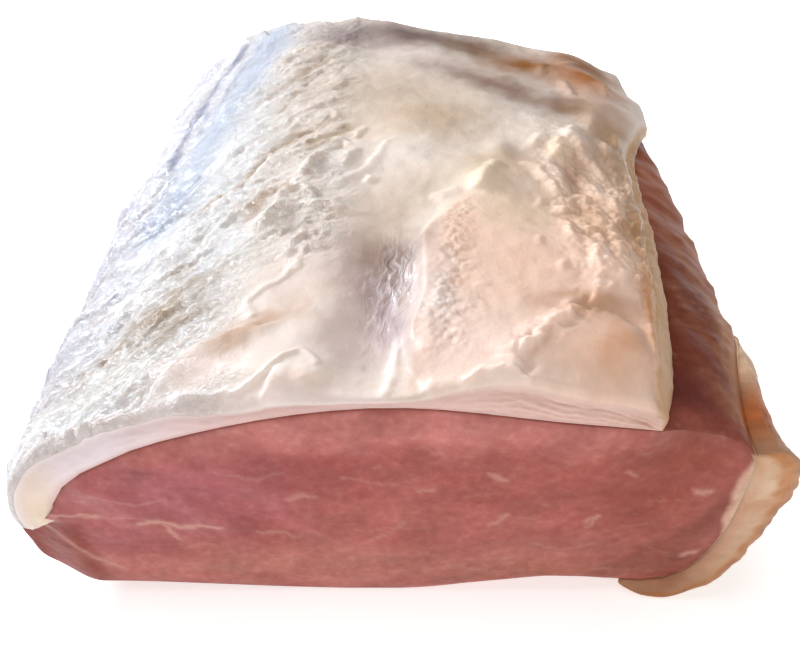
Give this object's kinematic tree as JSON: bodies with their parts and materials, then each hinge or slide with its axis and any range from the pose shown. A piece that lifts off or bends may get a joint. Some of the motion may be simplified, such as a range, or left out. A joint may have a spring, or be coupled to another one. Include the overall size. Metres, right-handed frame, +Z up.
{
  "type": "raw pork loin",
  "caption": "Raw boneless pork loin joint, cut square at both ends, with a thick uneven fat cap over the lean and a strip of fat down its right side.",
  "frame": {"origin": "centre of the footprint, on the surface that the joint rests on", "axes": "+X to the right as seen from the front cut, +Y from the front cut to the rear cut, +Z up"},
  "size_m": [0.1776, 0.1903, 0.0784],
  "materials": {
    "lean": "moist pinkish red raw muscle with pale marbling, browner and duller on the outside",
    "cap_fat": "wet cream to peach fat under a crumpled glossy membrane, bluish white at the left and tan at the rear",
    "side_strip": "wet orange tan fat with a cream pink cut end"
  },
  "bodies": {
    "root": {"lean_loin": "lean", "fat_cap": "cap_fat", "side_fat": "side_strip"}
  },
  "joints": []
}
